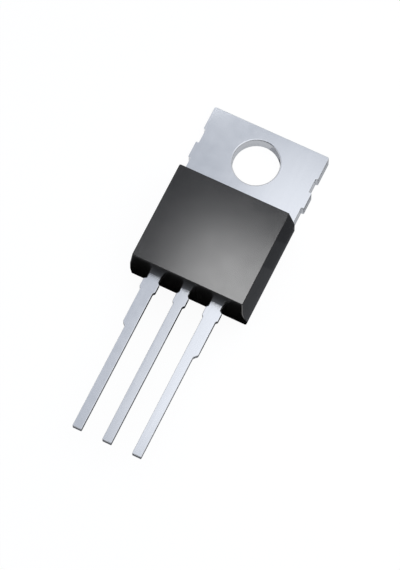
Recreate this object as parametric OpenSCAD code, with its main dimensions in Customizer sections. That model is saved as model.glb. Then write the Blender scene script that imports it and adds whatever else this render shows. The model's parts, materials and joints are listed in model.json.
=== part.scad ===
// Three-lead linear voltage regulator in a moulded power package with a metal mounting tab.
//
// Frame: the origin is the centre of the mounting hole on the back (heat sink) plane.
// +X runs across the width, +Y towards the free end of the tab and +Z out of the printed face.

/* [Package] */
// Width of the moulded body at its parting line
body_w = 10.0; // [8.4:0.1:12]
// Length of the moulded body, from the tab side to the lead side at the lead plane
body_l = 9.08; // [7.6:0.02:11]
// Height of the face above the back
body_h = 4.4; // [3.7:0.05:5.3]
// Distance from the hole centre to the moulded body
hole_to_body = 3.3; // [2.8:0.05:4.2]
// Draft of the two flanks above the parting line, in degrees
flank_draft = 4.8; // [1:0.1:10]
// Draft of the tab side above the tab, in degrees
tab_side_draft = 8.6; // [1:0.1:15]
// Draft of the lead side between the leads and the face, in degrees
lead_side_draft = 10; // [1:0.1:15]
// Draft of the lead side between the leads and the back, in degrees
lower_draft = 5.5; // [1:0.1:10]
// Radius of the four upright edges of the moulded body
corner_r = 0.12; // [0.06:0.01:0.5]
// Radius of the edges round the face
face_edge_r = 0.07; // [0.04:0.01:0.3]

/* [Heat sink tab] */
// Thickness of the tab and of the header under the chip
tab_t = 1.27; // [1.05:0.01:1.55]
// Width of the tab at its free end
tab_w = 10.0; // [8.4:0.1:12]
// Distance from the hole centre to the free end
hole_to_end = 2.88; // [2.4:0.02:3.5]
// Diameter of the mounting hole
hole_d = 3.8; // [3.1:0.02:4.6]
// Bevel round the front mouth of the hole
hole_bevel = 0.07; // [0.02:0.01:0.15]
// Radius of the tab's free corners
tab_corner_r = 0.14; // [0.05:0.01:0.5]
// Distance from the hole centre to the end of the full-width head, towards the free end
head_end = 0.84; // [0.5:0.02:1.5]
// Distance from the hole centre to the near side of the side lugs, towards the body
lug_start = 0.42; // [0.2:0.02:0.8]
// Length of the side lugs
lug_l = 1.44; // [1.1:0.02:1.75]
// How far the side lugs stand out past the head
lug_out = 0.05; // [0:0.01:0.2]
// Depth of the shallow notches between head and lugs
notch_in = 0.19; // [0.1:0.01:0.4]
// Thickness of the moulding beside the tab's neck where it enters the body
neck_wall = 0.17; // [0.12:0.01:0.4]
// How far that neck reaches into the body before it narrows to the header
neck_in = 0.28; // [0.2:0.01:0.35]

/* [Header inside the body] */
// Moulding left beside the header
header_wall = 0.55; // [0.4:0.01:0.9]
// Moulding left beyond the end of the header on the lead side
header_end_wall = 2.25; // [1.9:0.05:2.8]
// Width of the ledge that locks the header into the moulding
lock_ledge = 0.3; // [0.1:0.01:0.5]
// Height of the ledge above the back
lock_ledge_z = 0.45; // [0.3:0.01:0.7]
// Depth of the seal groove across the header
groove_depth = 0.25; // [0.1:0.01:0.4]
// Distance of the seal groove from the tab side of the body
groove_in = 0.95; // [0.7:0.01:1.2]
// Run of the middle lead past the header's end before it steps up
joggle_gap = 0.12; // [0.05:0.01:0.2]

/* [Leads] */
// Spacing of the leads
lead_pitch = 2.54; // [2.12:0.01:3.05]
// Free length of the leads, from the body to the tips
lead_len = 13.65; // [11.4:0.05:16.4]
// Thickness of the leads
lead_t = 0.5; // [0.4:0.01:0.6]
// Height of the leads' underside above the back
lead_z = 2.4; // [2.1:0.01:2.7]
// Width of a lead at its tip
lead_w = 0.77; // [0.64:0.01:0.92]
// Extra width of an outer lead on its outer side, up to its shoulder
shoulder_out = 0.3; // [0.2:0.01:0.36]
// Distance from the body to that shoulder
shoulder_at = 4.42; // [3.7:0.02:5.3]
// How far the cut stub of the tie bar stands out at each side of a lead
stub_out = 0.14; // [0.08:0.01:0.2]
// Distance from the body to the start of the stub
stub_at = 0.42; // [0.3:0.01:0.6]
// Length of the stub
stub_l = 0.86; // [0.72:0.01:1.03]
// Relief of an outer lead's neck between the body and its stub
neck_relief = 0.08; // [0:0.01:0.15]

/* [Bond posts inside the body] */
// Distance from the lead side of the body to the near edge of the posts
post_in = 0.75; // [0.6:0.01:0.95]
// Length of the posts
post_l = 1.45; // [1.2:0.01:1.75]
// Reach of a post from its lead's centre line towards the middle
post_inner = 0.95; // [0.8:0.01:1.1]
// Reach of a post from its lead's centre line towards the flank
post_outer = 1.1; // [0.9:0.01:1.3]
// Diameter of the hole that locks a post into the moulding
post_hole_d = 0.7; // [0.5:0.01:0.85]
// Metal left between that hole and the side of the post
post_hole_wall = 0.35; // [0.2:0.01:0.5]
// Distance of that hole's centre from the near edge of the post
post_hole_in = 0.53; // [0.45:0.01:0.65]
// Width of the middle lead inside the body
strip_w = 1.2; // [1:0.01:1.45]
// How far inside the body the middle lead widens to that
strip_in = 0.3; // [0.2:0.01:0.45]

/* [Chip and bond wires] */
// How far the chip sits from the middle of the header, towards the leads
die_shift = 0.38; // [0.2:0.01:0.5]
// Width of the chip
die_w = 2.9; // [2.4:0.05:3.5]
// Length of the chip
die_l = 2.5; // [2.1:0.05:3]
// Thickness of the chip
die_t = 0.3; // [0.25:0.01:0.36]
// Thickness of the solder under the chip
solder_t = 0.06; // [0.05:0.01:0.08]
// How far the solder stands out round the chip
solder_out = 0.12; // [0.1:0.01:0.2]
// Diameter of the power wires
power_wire_d = 0.3; // [0.25:0.01:0.36]
// Diameter of the sense and ground wires
signal_wire_d = 0.18; // [0.15:0.01:0.22]
// Rise of a long wire's loop above the straight line between its two bonds
loop_rise = 0.85; // [0.7:0.01:1]
// Rise of the short ground wire's loop
ground_loop_rise = 0.55; // [0.45:0.01:0.65]
// Distance of the bonds from the chip's edges
pad_inset = 0.45; // [0.38:0.01:0.54]
// Distance of the bonds from the far edge of a post
post_bond_in = 0.41; // [0.35:0.01:0.5]
// Distance between the two bonds on the output post
post_bond_gap = 0.67; // [0.55:0.01:0.8]
// Distance of the ground wire's bond from the end of the header
ground_bond_in = 0.54; // [0.45:0.01:0.65]

/* [Hidden] */

$fn = 48;
arc_steps = 6;
edge_steps = 4;
cut = 0.01;          // overshoot of cutting shapes past a face
least_corner_r = 0.04;
lug_r = 0.08;        // small radii of the tab's side profile
head_r = 0.06;       // radius between the head and a notch
notch_run = 0.06;    // run of a notch's sloping end along the tab
header_r = 0.24;
stub_r = 0.1;        // small radii of the leads' side profile
shoulder_r = 0.15;
ramp = 0.14;         // run of a sloping shoulder along the lead
tip_r = 0.06;
post_r = 0.2;
bend_r = 0.35;       // inner radius of the middle lead's bends
foot_run = 2.6;      // a bond foot's length, width and height in wire diameters
foot_width = 1.3;
foot_height = 0.6;

tab_side_y = -hole_to_body;
lead_side_y = tab_side_y - body_l;
lead_top = lead_z + lead_t;
lead_half = lead_w / 2;
header_half = body_w / 2 - header_wall;
header_end_y = lead_side_y + header_end_wall;
neck_end_y = tab_side_y - neck_in;
post_near_y = lead_side_y + post_in;
post_far_y = post_near_y + post_l;

die_z = tab_t + solder_t;
die_top = die_z + die_t;
die_y = (tab_side_y + header_end_y) / 2 - die_shift;
die_near_y = die_y - die_l / 2 + pad_inset;
die_far_y = die_y + die_l / 2 - pad_inset;
post_bond_y = post_far_y - post_bond_in;

// ---- Outlines ----

function unit(v) = v / norm(v);
function xy(p) = [p.x, p.y];

// Points of the corner b between a and c, rounded to the radius wanted, or to less where a side is short.
function corner(a, b, c, wanted) = wanted <= 0 ? [b] :
    let (u = unit(a - b), v = unit(c - b),
         half = acos(u * v) / 2,
         r = min(wanted, min(norm(a - b), norm(c - b)) / 2 * tan(half)),
         mid = b + unit(u + v) * r / sin(half),
         from = b + u * r / tan(half) - mid,
         to = b + v * r / tan(half) - mid,
         start = atan2(from.y, from.x),
         sweep = (atan2(to.y, to.x) - start + 540) % 360 - 180)
    [for (i = [0 : arc_steps]) let (turn = start + sweep * i / arc_steps) mid + r * [cos(turn), sin(turn)]];

// An outline from corners given as [x, y, radius].
function rounded(p) =
    let (n = len(p))
    [for (i = [0 : n - 1]) each corner(xy(p[(i + n - 1) % n]), xy(p[i]), xy(p[(i + 1) % n]), p[i].z)];

function flip(p) = [for (i = [len(p) - 1 : -1 : 0]) [-p[i].x, p[i].y, p[i].z]];

// ---- Moulded body ----

// Half the body's width, and its two ends, at the height z.
function flank_x(z) = body_w / 2 - max(0, z - tab_t) * tan(flank_draft);
function tab_end_y(z) = tab_side_y - max(0, z - tab_t) * tan(tab_side_draft);
function lead_end_y(z) = lead_side_y + (z > lead_top ? (z - lead_top) * tan(lead_side_draft)
                                                     : (lead_top - z) * tan(lower_draft));

// How far the rounding of the face's edge steps in at the height z.
function edge_inset(z) = z <= body_h - face_edge_r ? 0 :
    face_edge_r - sqrt(max(0, pow(face_edge_r, 2) - pow(z - body_h + face_edge_r, 2)));

function quarter(x, y, r, start) =
    [for (i = [0 : arc_steps]) let (turn = start + 90 * i / arc_steps) [x + r * cos(turn), y + r * sin(turn)]];

function body_ring(z) =
    let (in = edge_inset(z), r = max(corner_r - in, least_corner_r),
         x = flank_x(z) - in - r, top = tab_end_y(z) - in - r, low = lead_end_y(z) + in + r)
    [for (p = concat(quarter(x, top, r, 0), quarter(-x, top, r, 90),
                     quarter(-x, low, r, 180), quarter(x, low, r, 270))) [p.x, p.y, z]];

body_levels = concat([0, tab_t, lead_top],
    [for (i = [0 : edge_steps]) body_h - face_edge_r + face_edge_r * sin(90 * i / edge_steps)]);

module body_block() {
    n = 4 * (arc_steps + 1);
    last = len(body_levels) - 1;
    sides = [for (k = [0 : last - 1], i = [0 : n - 1])
        let (j = (i + 1) % n, a = k * n, b = a + n)
        each [[a + j, a + i, b + i], [a + j, b + i, b + j]]];
    polyhedron(
        points = [for (z = body_levels) each body_ring(z)],
        faces = concat([[for (i = [0 : n - 1]) i]], sides, [[for (i = [n - 1 : -1 : 0]) last * n + i]]));
}

module mould_body() {
    color("#3b3c3e") difference() {
        body_block();
        heat_sink_tab();
        input_lead();
        output_lead();
        regulator_die();
        die_solder();
        input_bond_wire();
        output_bond_wire();
        output_sense_wire();
        ground_bond_wire();
    }
}

// ---- Tab, header and middle lead, stamped from one strip of two thicknesses ----

head_half = tab_w / 2;
notch_half = head_half - notch_in;
neck_half = body_w / 2 - neck_wall;

tab_side = [
    [head_half, hole_to_end, tab_corner_r],
    [head_half, head_end, head_r],
    [notch_half, head_end - notch_run, head_r],
    [notch_half, -lug_start, head_r],
    [head_half + lug_out, -lug_start, lug_r],
    [head_half + lug_out, -lug_start - lug_l, lug_r],
    [neck_half, -lug_start - lug_l, head_r],
    [neck_half, neck_end_y, lug_r],
    [header_half, neck_end_y, lug_r],
];

module tab_plate() {
    ledge_side = concat([for (p = tab_side) p.x > header_half ? p : [p.x - lock_ledge, p.y, p.z]],
                        [[header_half - lock_ledge, header_end_y + lock_ledge, header_r]]);
    full_side = concat(tab_side, [[header_half, header_end_y, header_r]]);
    linear_extrude(lock_ledge_z) polygon(rounded(concat(flip(ledge_side), ledge_side)));
    translate([0, 0, lock_ledge_z]) linear_extrude(tab_t - lock_ledge_z)
        polygon(rounded(concat(flip(full_side), full_side)));
}

// A punched hole: its mouth is rounded over on the front and sharp on the back.
module mounting_hole() {
    translate([0, 0, -cut]) cylinder(d = hole_d, h = tab_t + 2 * cut);
    translate([0, 0, tab_t - hole_bevel])
        cylinder(h = hole_bevel + cut, r1 = hole_d / 2, r2 = hole_d / 2 + hole_bevel + cut);
}

module seal_groove() {
    translate([0, tab_side_y - groove_in, tab_t]) rotate([45, 0, 0])
        cube([body_w * 2, groove_depth * sqrt(2), groove_depth * sqrt(2)], center = true);
}

// The middle lead steps down from the lead plane to the header.
module joggle() {
    low = tab_t - lead_t;
    drop_y = header_end_y - joggle_gap;
    rise_y = post_near_y;
    slope = unit([drop_y - rise_y, tab_t - lead_top]);
    shift = lead_t * tan(atan2(-slope.y, slope.x) / 2);
    side = [
        [lead_side_y + strip_in, lead_z, 0],
        [lead_side_y + strip_in, lead_top, 0],
        [rise_y + shift, lead_top, bend_r + lead_t / 2],
        [drop_y + shift, tab_t, bend_r],
        [header_end_y + lock_ledge, tab_t, 0],
        [header_end_y + lock_ledge, low, 0],
        [drop_y, low, bend_r + lead_t / 2],
        [rise_y, lead_z, bend_r],
    ];
    rotate([90, 0, 90]) linear_extrude(strip_w, center = true) polygon(rounded(side));
}

module heat_sink_tab() {
    color("#c3c8d0") union() {
        difference() {
            tab_plate();
            mounting_hole();
            seal_groove();
        }
        joggle();
        lead_blank(lead_half, 0, strip_in + cut);
    }
}

// ---- Leads ----

// One side of a lead, from inside the body to the tip, as distances from its centre line.
function lead_side(neck, wide) = [
    [neck, lead_side_y - stub_at, stub_r],
    [wide + stub_out, lead_side_y - stub_at - ramp, stub_r],
    [wide + stub_out, lead_side_y - stub_at - stub_l, stub_r],
    [wide, lead_side_y - stub_at - stub_l - ramp, stub_r],
    if (wide > lead_half) [wide, lead_side_y - shoulder_at, shoulder_r],
    if (wide > lead_half) [lead_half, lead_side_y - shoulder_at - wide + lead_half, shoulder_r],
    [lead_half, lead_side_y - lead_len, tip_r],
];

// A lead outside the body. Its right side is the outer one where wide is over lead_half.
module lead_blank(wide, relief, root) {
    right = concat([[wide - relief, lead_side_y + root, 0]], lead_side(wide - relief, wide));
    left = concat([[lead_half, lead_side_y + root, 0]], lead_side(lead_half, lead_half));
    translate([0, 0, lead_z]) linear_extrude(lead_t) polygon(rounded(concat(right, flip(left))));
}

module bond_post() {
    outline = [
        [-post_inner, post_near_y, stub_r], [post_outer, post_near_y, stub_r],
        [post_outer, post_far_y, post_r], [-post_inner, post_far_y, post_r],
    ];
    translate([0, 0, lead_z]) difference() {
        linear_extrude(lead_t) polygon(rounded(outline));
        translate([post_outer - post_hole_wall - post_hole_d / 2, post_near_y + post_hole_in, -cut])
            cylinder(d = post_hole_d, h = lead_t + 2 * cut);
    }
}

module outer_lead() {
    color("#cdd2d8") union() {
        lead_blank(lead_half + shoulder_out, neck_relief, post_in + stub_r);
        bond_post();
    }
}

module input_lead() translate([-lead_pitch, 0, 0]) mirror([1, 0, 0]) outer_lead();

module output_lead() translate([lead_pitch, 0, 0]) outer_lead();

// ---- Chip ----

module regulator_die() {
    color("#59616d") translate([-die_w / 2, die_y - die_l / 2, die_z]) cube([die_w, die_l, die_t]);
}

module die_solder() {
    w = die_w + 2 * solder_out;
    l = die_l + 2 * solder_out;
    color("#b5b6b0") translate([-w / 2, die_y - l / 2, tab_t]) cube([w, l, solder_t]);
}

// ---- Bond wires ----

// A wire of the diameter d from one bond to another, both given as points on the surfaces bonded to.
module bond_wire(from, to, d, loop = loop_rise) {
    run = norm([to.x - from.x, to.y - from.y]);
    rise = to.z - from.z;
    chord = norm([run, rise]);
    r = (pow(chord / 2, 2) + pow(loop, 2)) / (2 * loop);
    half = 2 * atan(2 * loop / chord);
    tilt = atan2(rise, run);
    color("#d6d8da") translate([from.x, from.y, from.z]) rotate([0, 0, atan2(to.y - from.y, to.x - from.x)]) {
        translate([0, 0, d / 2]) rotate([90, 0, 0])
            translate([run / 2, rise / 2, 0] + (r - loop) * [sin(tilt), -cos(tilt), 0])
                rotate([0, 0, tilt + 90 - half]) rotate_extrude(angle = 2 * half) translate([r, 0]) circle(d = d);
        bond_foot(0, 0, d);
        bond_foot(run, rise, d);
    }
}

module bond_foot(x, z, d) {
    translate([x - foot_run * d / 2, -foot_width * d / 2, z])
        cube([foot_run * d, foot_width * d, foot_height * d]);
}

post_bond_x = lead_pitch - post_inner / 2;
pad_x = die_w / 2 - pad_inset;

module input_bond_wire() {
    bond_wire([-pad_x, die_near_y, die_top], [-post_bond_x, post_bond_y, lead_top], power_wire_d);
}

module output_bond_wire() {
    bond_wire([pad_x, die_near_y, die_top], [post_bond_x, post_bond_y, lead_top], power_wire_d);
}

module output_sense_wire() {
    bond_wire([pad_x, die_far_y, die_top], [post_bond_x + post_bond_gap, post_bond_y, lead_top], signal_wire_d);
}

module ground_bond_wire() {
    bond_wire([0, die_near_y, die_top], [0, header_end_y + ground_bond_in, tab_t], signal_wire_d, ground_loop_rise);
}

mould_body();
heat_sink_tab();
input_lead();
output_lead();
regulator_die();
die_solder();
input_bond_wire();
output_bond_wire();
output_sense_wire();
ground_bond_wire();
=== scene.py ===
import json
import math

import bmesh
import bpy
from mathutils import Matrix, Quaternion, Vector

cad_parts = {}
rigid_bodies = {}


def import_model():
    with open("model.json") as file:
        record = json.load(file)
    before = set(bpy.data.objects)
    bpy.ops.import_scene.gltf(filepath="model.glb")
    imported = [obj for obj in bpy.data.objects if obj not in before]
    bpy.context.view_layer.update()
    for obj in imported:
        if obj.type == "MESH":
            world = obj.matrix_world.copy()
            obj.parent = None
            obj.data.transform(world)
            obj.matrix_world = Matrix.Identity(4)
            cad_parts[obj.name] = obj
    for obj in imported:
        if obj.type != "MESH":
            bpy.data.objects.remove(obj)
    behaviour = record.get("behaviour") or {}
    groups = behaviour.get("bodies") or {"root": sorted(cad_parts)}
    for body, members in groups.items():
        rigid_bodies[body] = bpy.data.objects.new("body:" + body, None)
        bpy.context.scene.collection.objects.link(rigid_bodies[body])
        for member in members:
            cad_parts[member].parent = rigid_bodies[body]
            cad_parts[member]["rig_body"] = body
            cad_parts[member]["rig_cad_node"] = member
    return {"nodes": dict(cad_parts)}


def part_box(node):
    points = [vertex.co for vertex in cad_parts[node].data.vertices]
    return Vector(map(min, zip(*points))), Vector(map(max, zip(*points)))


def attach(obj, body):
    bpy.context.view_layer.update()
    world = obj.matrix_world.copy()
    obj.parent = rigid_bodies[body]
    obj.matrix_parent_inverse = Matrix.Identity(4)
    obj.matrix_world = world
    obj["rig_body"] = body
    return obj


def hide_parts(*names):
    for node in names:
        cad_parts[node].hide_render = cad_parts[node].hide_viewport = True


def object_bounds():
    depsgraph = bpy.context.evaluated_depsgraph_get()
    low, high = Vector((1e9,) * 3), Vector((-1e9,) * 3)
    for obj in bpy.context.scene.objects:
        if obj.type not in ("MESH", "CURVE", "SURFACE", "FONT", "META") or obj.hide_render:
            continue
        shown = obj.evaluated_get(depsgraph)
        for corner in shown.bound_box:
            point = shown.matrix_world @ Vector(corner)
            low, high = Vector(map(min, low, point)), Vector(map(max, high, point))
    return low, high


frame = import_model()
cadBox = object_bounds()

mm = 0.001  # the frame is in metres, and every size below is written in millimetres

scene = bpy.context.scene
scene.view_settings.view_transform = "Standard"


def pickNone():
    if bpy.context.object and bpy.context.object.mode != "OBJECT":
        bpy.ops.object.mode_set(mode="OBJECT")
    bpy.ops.object.select_all(action="DESELECT")


def pick(thing):
    pickNone()
    thing.select_set(True)
    bpy.context.view_layer.objects.active = thing


def linear(hexColour):
    channels = [int(hexColour[i:i + 2], 16) / 255 for i in (1, 3, 5)]
    return [c / 12.92 if c <= 0.04045 else ((c + 0.055) / 1.055) ** 2.4 for c in channels] + [1.0]


# The scale of a pattern on object coordinates whose features are this many millimetres across.
def repeat(size):
    return 1 / (size * mm)


# Adds a node. Sockets take a value or another node's output, and settings are the node's own.
def addNode(tree, kind, sockets=None, **settings):
    node = tree.nodes.new(kind)
    for name, value in settings.items():
        setattr(node, name, value)
    for name, value in (sockets or {}).items():
        if isinstance(value, bpy.types.NodeSocket):
            tree.links.new(value, node.inputs[name])
        else:
            node.inputs[name].default_value = value
    return node


def newMaterial(name):
    material = bpy.data.materials.new(name)
    material.use_nodes = True
    material.node_tree.nodes.clear()
    return material, material.node_tree


# Shared by the finishes: where a pattern's values mostly lie, and how strongly each pattern bends the
# shading.
noiseSpread = (0.25, 0.75)
productSpread = (0.1, 0.4)  # two noises multiplied
bumpStrength = {"grain": 0.5, "line": 0.4, "wave": 1.0, "tear": 0.6}


# Black epoxy moulding compound, transfer moulded in a spark-eroded steel mould. It is nearly black, and its
# satin shine is broken by a fine grain and by the cloudy marks where the compound flowed.
epoxy = {
    "dark": "#1a1817",
    "light": "#201e1c",
    "roughness": (0.2, 0.27),
    "grain": 0.14,        # the real grain is about 0.03, too fine to show
    "grainDepth": 0.0008,
    "cloud": 1.3,
    "cloudShare": 0.65,   # how much of the change in shine comes from the clouds, and the rest from the grain
    "ior": 1.55,
}


def mouldedEpoxy():
    material, tree = newMaterial("black_epoxy_moulding_compound")
    place = addNode(tree, "ShaderNodeTexCoord").outputs["Object"]
    cloud = addNode(tree, "ShaderNodeTexNoise", {
        "Vector": place, "Scale": repeat(epoxy["cloud"]), "Detail": 3.0})
    grain = addNode(tree, "ShaderNodeTexNoise", {
        "Vector": place, "Scale": repeat(epoxy["grain"]), "Detail": 2.0})
    colour = addNode(tree, "ShaderNodeMix", {
        "Factor": cloud.outputs["Fac"], "A": linear(epoxy["dark"]), "B": linear(epoxy["light"])},
                     data_type="RGBA")
    shine = addNode(tree, "ShaderNodeMix", {
        "Factor": epoxy["cloudShare"], "A": grain.outputs["Fac"], "B": cloud.outputs["Fac"]},
                    data_type="FLOAT")
    rough = addNode(tree, "ShaderNodeMapRange", {
        "Value": shine.outputs["Result"], "From Min": noiseSpread[0], "From Max": noiseSpread[1],
        "To Min": epoxy["roughness"][0], "To Max": epoxy["roughness"][1]})
    bump = addNode(tree, "ShaderNodeBump", {
        "Height": grain.outputs["Fac"], "Strength": bumpStrength["grain"],
        "Distance": epoxy["grainDepth"] * mm})
    shader = addNode(tree, "ShaderNodeBsdfPrincipled", {
        "Base Color": colour.outputs["Result"], "Roughness": rough.outputs["Result"], "IOR": epoxy["ior"],
        "Normal": bump.outputs["Normal"]})
    addNode(tree, "ShaderNodeOutputMaterial", {"Surface": shader.outputs["BSDF"]})
    return material


# Matt tin plate on rolled copper strip: a soft silver with faint rolling lines along the strip, and not quite
# flat. The punch leaves each cut side smooth near the front, and torn and duller towards the back.
tinPlate = {
    "dark": "#dadcdf",
    "light": "#e7e8ea",
    "roughness": (0.19, 0.25),
    "lineWidth": 0.07,    # rolling lines are about 0.02 apart, drawn as coarse as shows
    "lineLength": 6.0,
    "lineDepth": 0.0006,
    "cloud": 1.1,         # uneven plating
    "wave": 4.5,          # how far apart the strip dips, because it is not quite flat
    "waveDepth": 0.02,
    "tornBelow": 0.5,     # height of the break in a cut side
    "tornRoughness": 0.2, # what the tear adds
    "tornGrain": 0.07,
    "tornDepth": 0.008,
}

# The same plate on the thinner leads, which are flatter and a little duller.
tinnedLead = {
    "dark": "#dfe1e4",
    "light": "#ebecee",
    "roughness": (0.21, 0.27),
    "lineWidth": 0.05,
    "lineLength": 5.0,
    "lineDepth": 0.0005,
    "cloud": 0.8,
    "wave": 3.0,
    "waveDepth": 0.008,
    "tornBelow": 2.58,
    "tornRoughness": 0.18,
    "tornGrain": 0.05,
    "tornDepth": 0.005,
}

# How a cut side tears, on the tab and the leads alike.
tear = {
    "steepBelow": 0.5,    # a face whose normal rises less than this is a cut side
    "scratchHeight": 0.6,
    "ragged": 0.12,       # how far the break wanders up and down
}


# The cut sides below the break: a mask, and the upright scratches of the tear.
def tornSides(tree, place, finish):
    upright = addNode(tree, "ShaderNodeSeparateXYZ", {
        "Vector": addNode(tree, "ShaderNodeNewGeometry").outputs["True Normal"]})
    steepness = addNode(tree, "ShaderNodeMath", {0: upright.outputs["Z"]}, operation="ABSOLUTE")
    cutSide = addNode(tree, "ShaderNodeMath", {0: steepness.outputs["Value"], 1: tear["steepBelow"]},
                      operation="LESS_THAN")
    stretched = addNode(tree, "ShaderNodeMapping", {"Vector": place, "Scale": (
        repeat(finish["tornGrain"]), repeat(finish["tornGrain"]), repeat(tear["scratchHeight"]))})
    scratches = addNode(tree, "ShaderNodeTexNoise", {"Vector": stretched.outputs["Vector"], "Scale": 1.0})
    height = addNode(tree, "ShaderNodeSeparateXYZ", {"Vector": place})
    ragged = addNode(tree, "ShaderNodeMath", {
        0: scratches.outputs["Fac"], 1: tear["ragged"] * mm, 2: height.outputs["Z"]},
                     operation="MULTIPLY_ADD")
    below = addNode(tree, "ShaderNodeMath", {
        0: ragged.outputs["Value"], 1: (finish["tornBelow"] + tear["ragged"] / 2) * mm},
                    operation="LESS_THAN")
    mask = addNode(tree, "ShaderNodeMath", {0: cutSide.outputs["Value"], 1: below.outputs["Value"]},
                   operation="MULTIPLY")
    depth = addNode(tree, "ShaderNodeMath", {0: mask.outputs["Value"], 1: scratches.outputs["Fac"]},
                    operation="MULTIPLY")
    return mask.outputs["Value"], depth.outputs["Value"]


def platedMetal(name, finish):
    material, tree = newMaterial(name)
    place = addNode(tree, "ShaderNodeTexCoord").outputs["Object"]
    stretched = addNode(tree, "ShaderNodeMapping", {"Vector": place, "Scale": (
        repeat(finish["lineWidth"]), repeat(finish["lineLength"]), repeat(finish["lineLength"]))})
    lines = addNode(tree, "ShaderNodeTexNoise", {
        "Vector": stretched.outputs["Vector"], "Scale": 1.0, "Detail": 2.0})
    cloud = addNode(tree, "ShaderNodeTexNoise", {
        "Vector": place, "Scale": repeat(finish["cloud"]), "Detail": 4.0})
    wave = addNode(tree, "ShaderNodeTexNoise", {
        "Vector": place, "Scale": repeat(finish["wave"]), "Detail": 0.0})
    colour = addNode(tree, "ShaderNodeMix", {
        "Factor": cloud.outputs["Fac"], "A": linear(finish["dark"]), "B": linear(finish["light"])},
                     data_type="RGBA")
    mixed = addNode(tree, "ShaderNodeMath", {0: lines.outputs["Fac"], 1: cloud.outputs["Fac"]},
                    operation="MULTIPLY")
    rough = addNode(tree, "ShaderNodeMapRange", {
        "Value": mixed.outputs["Value"], "From Min": productSpread[0], "From Max": productSpread[1],
        "To Min": finish["roughness"][0], "To Max": finish["roughness"][1]})
    lineBump = addNode(tree, "ShaderNodeBump", {
        "Height": lines.outputs["Fac"], "Strength": bumpStrength["line"],
        "Distance": finish["lineDepth"] * mm})
    waveBump = addNode(tree, "ShaderNodeBump", {
        "Height": wave.outputs["Fac"], "Strength": bumpStrength["wave"], "Distance": finish["waveDepth"] * mm,
        "Normal": lineBump.outputs["Normal"]})
    roughness, normal = rough.outputs["Result"], waveBump.outputs["Normal"]
    if "tornBelow" in finish:
        mask, depth = tornSides(tree, place, finish)
        roughness = addNode(tree, "ShaderNodeMath", {0: mask, 1: finish["tornRoughness"], 2: roughness},
                            operation="MULTIPLY_ADD").outputs["Value"]
        normal = addNode(tree, "ShaderNodeBump", {
            "Height": depth, "Strength": bumpStrength["tear"], "Distance": finish["tornDepth"] * mm,
            "Normal": normal}).outputs["Normal"]
    shader = addNode(tree, "ShaderNodeBsdfPrincipled", {
        "Base Color": colour.outputs["Result"], "Metallic": 1.0, "Roughness": roughness, "Normal": normal})
    addNode(tree, "ShaderNodeOutputMaterial", {"Surface": shader.outputs["BSDF"]})
    return material


epoxyFinish = mouldedEpoxy()
tabFinish = platedMetal("matt_tin_plate", tinPlate)
leadFinish = platedMetal("tinned_lead", tinnedLead)
print("finishes made")


# How the copies of CAD shapes are cleaned up, in millimetres and degrees.
cleanUp = {
    "mergeWithin": 0.0005,
    "flatWithin": 0.3,    # neighbouring triangles closer to level than this become one face
    "cornerFrom": 40,     # an edge sharper than this is a corner that may be rounded
    "facing": 0.95,       # how square to Z a face's normal is on the front and the back
    "slack": 0.001,
}


# A merged copy of a CAD node, cut along some lines first, so that each flat face becomes one clean outline.
def workingCopy(nodeName, pieceName, cutLines=()):
    pick(frame["nodes"][nodeName])
    bpy.ops.object.duplicate()
    piece = bpy.context.object
    piece.name = piece.data.name = pieceName
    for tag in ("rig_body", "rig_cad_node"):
        del piece[tag]
    bpy.ops.object.parent_clear(type="CLEAR_KEEP_TRANSFORM")
    piece.scale = (1 / mm,) * 3  # worked on in millimetres, since the bevel rounds off anything near a micron
    bpy.ops.object.transform_apply(location=False, rotation=False, scale=True)
    bpy.ops.object.mode_set(mode="EDIT")
    bpy.ops.mesh.select_all(action="SELECT")
    bpy.ops.mesh.remove_doubles(threshold=cleanUp["mergeWithin"])
    for point, across in cutLines:
        bpy.ops.mesh.select_all(action="SELECT")
        bpy.ops.mesh.bisect(plane_co=point, plane_no=across)
        bpy.ops.mesh.mark_seam(clear=False)  # bisect leaves its cut selected
    bpy.ops.mesh.select_all(action="SELECT")
    bpy.ops.mesh.dissolve_limited(angle_limit=math.radians(cleanUp["flatWithin"]), delimit={"SEAM"})
    bpy.ops.mesh.select_all(action="DESELECT")
    return piece


def bevelEdges(piece, size, steps, wanted):
    editMesh = bmesh.from_edit_mesh(piece.data)
    bpy.ops.mesh.select_mode(type="EDGE")
    bpy.ops.mesh.select_all(action="DESELECT")
    sharp = math.radians(cleanUp["cornerFrom"])
    for edge in editMesh.edges:
        if len(edge.link_faces) == 2 and edge.calc_face_angle(0) > sharp and wanted(edge):
            edge.select_set(True)
    bmesh.update_edit_mesh(piece.data)
    bpy.ops.mesh.bevel(offset=size, segments=steps, profile=0.5, clamp_overlap=False, loop_slide=False)
    bpy.ops.mesh.select_all(action="DESELECT")


# Smooths the piece, brings it back to metres, and puts it in its CAD node's place.
def settlePiece(piece, material, nodeName, smoothAngle):
    bpy.ops.object.mode_set(mode="OBJECT")
    pick(piece)
    bpy.ops.object.shade_smooth_by_angle(angle=math.radians(smoothAngle))
    bpy.ops.object.modifier_add(type="WEIGHTED_NORMAL")
    piece.modifiers[-1].keep_sharp = True
    bpy.ops.object.modifier_apply(modifier=piece.modifiers[-1].name)
    piece.scale = (mm,) * 3
    bpy.ops.object.transform_apply(location=False, rotation=False, scale=True)
    piece.data.materials.clear()
    piece.data.materials.append(material)
    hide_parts(nodeName)
    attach(piece, "root")
    print(piece.name, "made,", len(piece.data.polygons), "faces")


bodyLow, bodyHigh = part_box("mould_body")

# The moulded body keeps its drafts and rounded edges, and only its shading is smoothed.
mouldedBody = {"smooth": 40}

bodyPiece = workingCopy("mould_body", "moulded_body")
settlePiece(bodyPiece, epoxyFinish, "mould_body", mouldedBody["smooth"])


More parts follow.
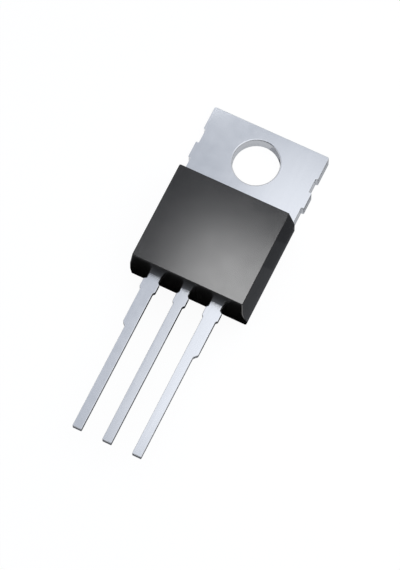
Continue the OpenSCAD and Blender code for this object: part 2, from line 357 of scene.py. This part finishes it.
# The punch rolls the metal over on the front and leaves it nearly sharp on the back. Only what stands outside
# the moulding is rounded, from a little way in, because the moulding fills round the rest.
def stampedPiece(nodeName, pieceName, material, stamping):
    heldTop = bodyHigh.y / mm - stamping["heldIn"]
    heldLow = bodyLow.y / mm + stamping["heldIn"]
    slack, facing = cleanUp["slack"], cleanUp["facing"]

    def isOutside(edge):
        return all(corner.co.y > heldTop - slack or corner.co.y < heldLow + slack for corner in edge.verts)

    cutLines = [((0, heldTop, 0), (0, 1, 0)), ((0, heldLow, 0), (0, 1, 0))] + stamping["cutLines"]
    piece = workingCopy(nodeName, pieceName, cutLines)
    bevelEdges(piece, stamping["front"], stamping["frontSteps"],
               lambda edge: isOutside(edge) and any(face.normal.z > facing for face in edge.link_faces))
    bevelEdges(piece, stamping["back"], stamping["backSteps"],
               lambda edge: isOutside(edge) and any(face.normal.z < -facing for face in edge.link_faces))
    settlePiece(piece, material, nodeName, stamping["smooth"])
    return piece


# The heat sink tab and the middle lead are one stamping. It is cut through the middle of the hole both ways,
# so that no face has to run right round the hole.
tabStamping = {
    "front": 0.045,       # radius of the rolled edge
    "frontSteps": 3,
    "back": 0.012,
    "backSteps": 2,
    "heldIn": 0.1,        # how far inside the moulding the rounding starts
    "smooth": 35,
    "cutLines": [((0, 0, 0), (1, 0, 0)), ((0, 0, 0), (0, 1, 0))],
}

# Both outer leads.
leadStamping = {
    "front": 0.045,
    "frontSteps": 3,
    "back": 0.012,
    "backSteps": 2,
    "heldIn": 0.1,
    "smooth": 35,
    "cutLines": [],
}

tabPiece = stampedPiece("heat_sink_tab", "plated_tab", tabFinish, tabStamping)
inputPiece = stampedPiece("input_lead", "input_lead_tinned", leadFinish,
                          leadStamping)
outputPiece = stampedPiece("output_lead", "output_lead_tinned", leadFinish,
                           leadStamping)


# The pieces inside the moulding keep their CAD shapes, and each gets its own finish.

# Polished silicon, dark blue grey and nearly a mirror.
silicon = {
    "dark": "#3c434f",
    "light": "#4c5462",
    "roughness": (0.12, 0.2),
    "lineWidth": 0.2,
    "lineLength": 0.2,
    "lineDepth": 0.0002,
    "cloud": 0.5,
    "wave": 2.0,
    "waveDepth": 0.0005,
}

# Soft solder under the chip, reflowed and dull.
softSolder = {
    "dark": "#8f908c",
    "light": "#b5b6b0",
    "roughness": (0.4, 0.55),
    "lineWidth": 0.2,
    "lineLength": 0.2,
    "lineDepth": 0.002,
    "cloud": 0.4,
    "wave": 1.0,
    "waveDepth": 0.01,
}

# Drawn aluminium wire: bright, with drawing lines roughly along it, which are coarser than the real ones so
# that they show.
drawnWire = {
    "dark": "#cdcfd1",
    "light": "#e2e3e4",
    "roughness": (0.24, 0.32),
    "lineWidth": 0.08,
    "lineLength": 0.8,
    "lineDepth": 0.0004,
    "cloud": 0.3,
    "wave": 1.0,
    "waveDepth": 0.001,
}

wireFinish = platedMetal("drawn_aluminium_wire", drawnWire)
innerFinishes = {
    "regulator_die": platedMetal("polished_silicon", silicon),
    "die_solder": platedMetal("soft_solder", softSolder),
    "input_bond_wire": wireFinish,
    "output_bond_wire": wireFinish,
    "output_sense_wire": wireFinish,
    "ground_bond_wire": wireFinish,
}
for nodeName, material in innerFinishes.items():
    frame["nodes"][nodeName].data.materials.clear()
    frame["nodes"][nodeName].data.materials.append(material)
print("inner pieces finished")


# A white paper sweep: a round floor whose rim is drawn up into the backdrop.
sweep = {
    "radius": 1500.0,
    "height": 950.0,
    "corners": 96,
    "below": 0.02,     # it lies this far below the back of the tab
    "paper": "#606060",
    "glow": 0.94,      # what the white paper shows by itself, so that the object's shadow stays soft
}


def whitePaper():
    material, tree = newMaterial("white_backdrop_paper")
    rays = addNode(tree, "ShaderNodeLightPath")
    seen = addNode(tree, "ShaderNodeMath", {
        0: rays.outputs["Is Camera Ray"], 1: rays.outputs["Is Glossy Ray"]}, operation="ADD")
    seen = addNode(tree, "ShaderNodeMath", {
        0: seen.outputs["Value"], 1: rays.outputs["Is Transmission Ray"]}, operation="ADD", use_clamp=True)
    glow = addNode(tree, "ShaderNodeMath", {0: seen.outputs["Value"], 1: sweep["glow"]}, operation="MULTIPLY")
    matt = addNode(tree, "ShaderNodeBsdfDiffuse", {"Color": linear(sweep["paper"])})
    light = addNode(tree, "ShaderNodeEmission", {"Strength": glow.outputs["Value"]})
    both = addNode(tree, "ShaderNodeAddShader", {0: matt.outputs["BSDF"], 1: light.outputs["Emission"]})
    addNode(tree, "ShaderNodeOutputMaterial", {"Surface": both.outputs["Shader"]})
    return material


pickNone()
bpy.ops.mesh.primitive_circle_add(vertices=sweep["corners"], radius=sweep["radius"] * mm, fill_type="NGON",
                                  location=(0, 0, cadBox[0][2] - sweep["below"] * mm))
paperSweep = bpy.context.object
paperSweep.name = "paper_sweep"
bpy.ops.object.mode_set(mode="EDIT")
bpy.ops.mesh.select_mode(type="EDGE")
bpy.ops.mesh.select_all(action="SELECT")
bpy.ops.mesh.region_to_loop()
bpy.ops.mesh.extrude_region_move(TRANSFORM_OT_translate={"value": (0, 0, sweep["height"] * mm)})
bpy.ops.object.mode_set(mode="OBJECT")
paperSweep.data.materials.append(whitePaper())

# Grey and black cards round the object that glow at their own colour and show only in its shine. They are
# painted reflections of shade and of grey surroundings on the walls, flanks, tab and hole. Each lies a little
# higher than the one that it overlaps.
paintedReflections = {
    "side_painted_reflection": {"centre": (27, 1.5, -0.015), "size": (44, 28), "colour": "#6a6c70"},
    "front_painted_reflection": {"centre": (-2.5, -26, -0.014), "size": (15, 28), "colour": "#626468"},
    "black_painted_shade": {"centre": (0, -13.6, -0.01), "size": (11, 3.6), "colour": "#060606"},
    "tab_painted_reflection": {"centre": (0, 6.85, -0.013), "size": (10.4, 20.3), "colour": "#c4c6ca"},
    "hole_painted_reflection": {"centre": (1.6, 0.9, -0.011), "size": (1.0, 1.3), "colour": "#54565c"},
    "rim_painted_reflection": {"centre": (0.85, 1.75, -0.012), "size": (1.3, 0.8), "colour": "#96989e"},
    "tab_end_flank_painted_reflection": {"centre": (6.4, -3.5, -0.0125), "size": (2.4, 2.4), "colour": "#4e5054"},
    "mid_flank_painted_reflection": {"centre": (6.4, -5.9, -0.0125), "size": (2.4, 2.4), "colour": "#5c5e62"},
    # The card above the front is aimed at the object and paints a darker reflection into the faces turned
    # towards it.
    "camera_painted_reflection": {"centre": (-12, -52, 50), "size": (52, 44), "colour": "#5a5b5e", "aim": (0, -13, 3)},
}


# Lays one card: an emission at its own colour that only glossy rays see, so it is a painted reflection.
def layPaintedReflection(name, paintedCard):
    pickNone()
    bpy.ops.mesh.primitive_plane_add(size=1, location=Vector(paintedCard["centre"]) * mm)
    card = bpy.context.object
    card.name = name
    if "aim" in paintedCard:
        ahead = Vector(paintedCard["aim"]) - Vector(paintedCard["centre"])
        card.rotation_euler = ahead.to_track_quat("Z", "Y").to_euler()
    card.scale = (paintedCard["size"][0] * mm, paintedCard["size"][1] * mm, 1)
    material, tree = newMaterial(name + "_card")
    light = addNode(tree, "ShaderNodeEmission", {"Color": linear(paintedCard["colour"]), "Strength": 1.0})
    addNode(tree, "ShaderNodeOutputMaterial", {"Surface": light.outputs["Emission"]})
    card.data.materials.append(material)
    card.visible_camera = card.visible_diffuse = card.visible_shadow = card.visible_transmission = False


for name, paintedCard in paintedReflections.items():
    layPaintedReflection(name, paintedCard)
print("paper and flags laid")

# Softboxes hang level above the object. A strength of 1 is as bright as white paper, and each lights only
# what it is hung for. They hang at different heights, because one would hide another's shine at its own
# height.
softboxes = {
    "metal_softbox": {"centre": (22, -1.9, 35), "size": (55, 32.2), "strength": 0.56, "diffuse": True,
                      "lights": [tabPiece, inputPiece, outputPiece, paperSweep]},
    "face_softbox": {"centre": (3.75, -4.2, 34.5), "size": (20.3, 13.6), "strength": 8.6, "diffuse": False,
                     "lights": [bodyPiece]},
    "tab_softbox": {"centre": (-13, 18.5, 34), "size": (5, 5), "strength": 2.0, "diffuse": False,
                    "lights": [tabPiece]},
}


def hangSoftbox(name, box):
    pickNone()
    bpy.ops.object.light_add(type="AREA", location=Vector(box["centre"]) * mm)
    lamp = bpy.context.object
    lamp.name = name
    lamp.data.shape = "RECTANGLE"
    lamp.data.size, lamp.data.size_y = box["size"][0] * mm, box["size"][1] * mm
    lamp.data.energy = box["strength"] * math.pi * lamp.data.size * lamp.data.size_y
    lamp.visible_camera = False
    lamp.visible_diffuse = box["diffuse"]
    lit = bpy.data.collections.new(name + "_lights")
    for thing in box["lights"]:
        lit.objects.link(thing)
    lamp.light_linking.receiver_collection = lit


for name, box in softboxes.items():
    hangSoftbox(name, box)

studio = {"air": "#cdd2dc", "strength": 0.94}
scene.world = bpy.data.worlds.new("studio")
scene.world.use_nodes = True
airTree = scene.world.node_tree
airTree.nodes.clear()
air = addNode(airTree, "ShaderNodeBackground", {
    "Color": linear(studio["air"]), "Strength": studio["strength"]})
addNode(airTree, "ShaderNodeOutputWorld", {"Surface": air.outputs["Background"]})
print("softboxes hung")

shot = {
    "aim": (0.67, -11.31, 2.0),
    "azimuth": 28.92,     # degrees round from straight in front of the leads
    "elevation": 70.21,
    "roll": -2.91,
    "distance": 288.3,
    "lens": 235.3,
    "sensor": 36,
    "clip": (10, 6000),
}

azimuth, elevation = math.radians(shot["azimuth"]), math.radians(shot["elevation"])
toCamera = Vector((math.sin(azimuth) * math.cos(elevation), -math.cos(azimuth) * math.cos(elevation),
                   math.sin(elevation)))
pickNone()
bpy.ops.object.camera_add(location=(Vector(shot["aim"]) + toCamera * shot["distance"]) * mm)
camera = bpy.context.object
camera.rotation_mode = "QUATERNION"
camera.rotation_quaternion = ((-toCamera).to_track_quat("-Z", "Y")
                              @ Quaternion((0, 0, 1), math.radians(shot["roll"])))
camera.data.sensor_width = shot["sensor"]
camera.data.lens = shot["lens"]
camera.data.clip_start, camera.data.clip_end = shot["clip"][0] * mm, shot["clip"][1] * mm
scene.camera = camera
print("camera set")
